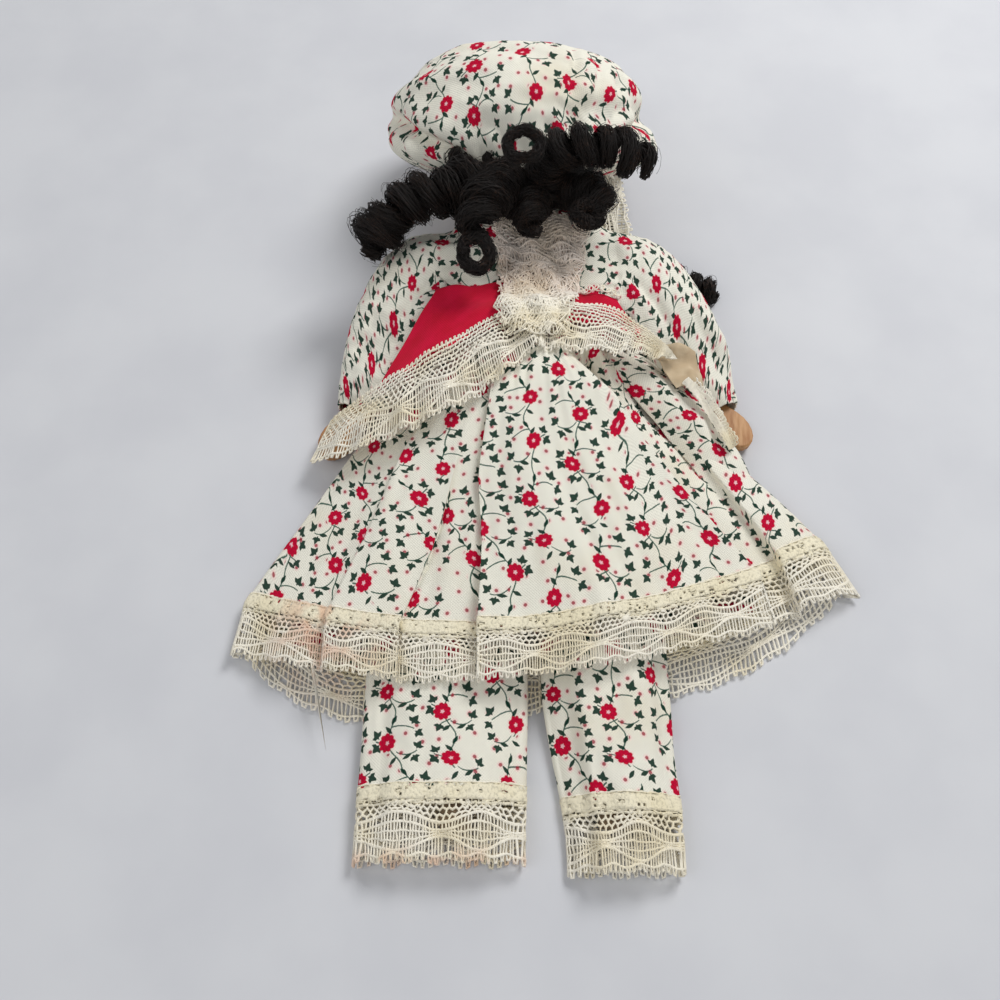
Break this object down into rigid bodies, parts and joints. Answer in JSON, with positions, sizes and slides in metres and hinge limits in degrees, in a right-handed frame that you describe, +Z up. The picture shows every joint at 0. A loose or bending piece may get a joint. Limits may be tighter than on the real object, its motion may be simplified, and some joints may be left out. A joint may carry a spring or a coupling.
{
  "type": "wooden head doll",
  "caption": "Wooden doll lying face down in a printed cotton dress, puffed cap, shawl and lace-edged pantaloons, with a turning head, swinging arms and hips, and dark ringlets.",
  "frame": {"origin": "on the surface that the doll lies on, under the flat front of its skirt, just below its hips", "axes": "+X to the doll's right, +Y towards the top of its head, +Z up, out of its back"},
  "size_m": [0.1798, 0.2703, 0.0623],
  "materials": {
    "wood": "smooth pale wood, lightly varnished",
    "brass": "plain dome-headed pin",
    "hair": "very dark brown curled fibre with a soft sheen",
    "calico": "off-white plain-weave cotton with a small red flower and green leaf print",
    "lace": "cream cotton lace edging",
    "shawl": "plain crimson cotton"
  },
  "bodies": {
    "body": {"torso": "wood", "neck_dowel": "wood", "shoulder_pin_left": "brass", "shoulder_pin_right": "brass", "bodice": "calico", "sleeve_left": "calico", "sleeve_right": "calico", "collar_frill": "lace", "skirt": "calico", "hem_lace": "lace", "pantaloon_seat": "calico", "shawl_left": "shawl", "shawl_right": "shawl", "shawl_lace_left": "lace", "shawl_lace_right": "lace", "jabot": "lace"},
    "head": {"head": "wood", "wig": "hair", "mob_cap": "calico", "ringlet_left": "hair", "ringlet_middle": "hair", "ringlet_short": "hair", "ringlet_right": "hair", "ringlet_over_cap": "hair", "ringlet_front": "hair"},
    "arm_left": {"arm_left": "wood"},
    "arm_right": {"arm_right": "wood"},
    "legs": {"hip_dowel": "wood", "leg_left": "wood", "leg_right": "wood", "pantaloon_left": "calico", "pantaloon_right": "calico", "cuff_lace_left": "lace", "cuff_lace_right": "lace"}
  },
  "joints": [
    {"name": "head_turn", "type": "hinge", "parent": "body", "child": "head", "pos_m": [0, 0.09123, 0.02125], "axis": [0, 0.9914, 0.1305], "range_deg": [-60, 60], "deforming": ["ringlet_left", "ringlet_middle", "ringlet_short", "ringlet_right", "ringlet_over_cap", "ringlet_front", "collar_frill"]},
    {"name": "arm_left_swing", "type": "hinge", "parent": "body", "child": "arm_left", "pos_m": [-0.013, 0.08337, 0.01199], "axis": [0, 0.1305, -0.9914], "range_deg": [-1, 60], "deforming": ["sleeve_left"]},
    {"name": "arm_right_swing", "type": "hinge", "parent": "body", "child": "arm_right", "pos_m": [0.013, 0.08337, 0.01199], "axis": [0, -0.1305, 0.9914], "range_deg": [-4, 60], "deforming": ["sleeve_right"]},
    {"name": "hip_swing", "type": "hinge", "parent": "body", "child": "legs", "pos_m": [0, 0.002, 0.0095], "axis": [1, 0, 0], "range_deg": [-10, 85], "deforming": ["skirt", "hem_lace", "pantaloon_seat"]}
  ]
}
